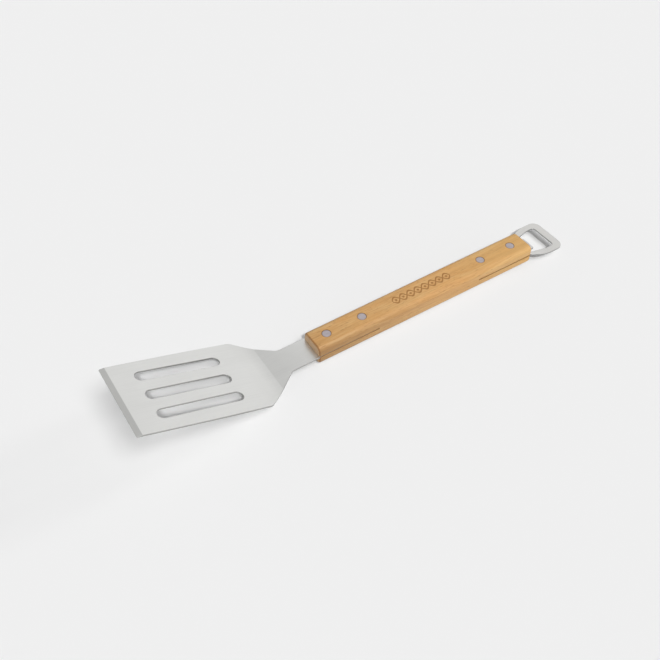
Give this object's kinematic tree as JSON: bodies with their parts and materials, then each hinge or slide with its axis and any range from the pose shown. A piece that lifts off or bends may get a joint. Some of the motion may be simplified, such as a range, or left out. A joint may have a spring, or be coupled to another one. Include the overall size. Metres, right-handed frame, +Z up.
{
  "type": "grill spatula",
  "caption": "Long-handled slotted grill turner with an upswept bevelled steel blade, a riveted wooden handle and a bottle-opener loop at its butt.",
  "frame": {"origin": "bottom centre of the whole tool's bounding box, on the surface that the handle lies on", "axes": "+X along the tool from the blade's front edge towards the bottle opener, +Y across the blade, +Z up out of the handle's top face, the side the blade rises to"},
  "size_m": [0.4538, 0.0792, 0.0561],
  "materials": {
    "blade_steel": "fine brushed stainless steel, bright",
    "handle_wood": "oiled light hardwood or bamboo, fine streaky grain",
    "opener_steel": "fine brushed stainless steel",
    "rivet_aluminium": "satin, sanded flush with the wood"
  },
  "bodies": {
    "root": {"blade": "blade_steel", "handle": "handle_wood", "bottle_opener": "opener_steel", "rivet_1_sleeve": "rivet_aluminium", "rivet_1_pin": "rivet_aluminium", "rivet_2_sleeve": "rivet_aluminium", "rivet_2_pin": "rivet_aluminium", "rivet_3_sleeve": "rivet_aluminium", "rivet_3_pin": "rivet_aluminium", "rivet_4_sleeve": "rivet_aluminium", "rivet_4_pin": "rivet_aluminium"}
  },
  "joints": []
}
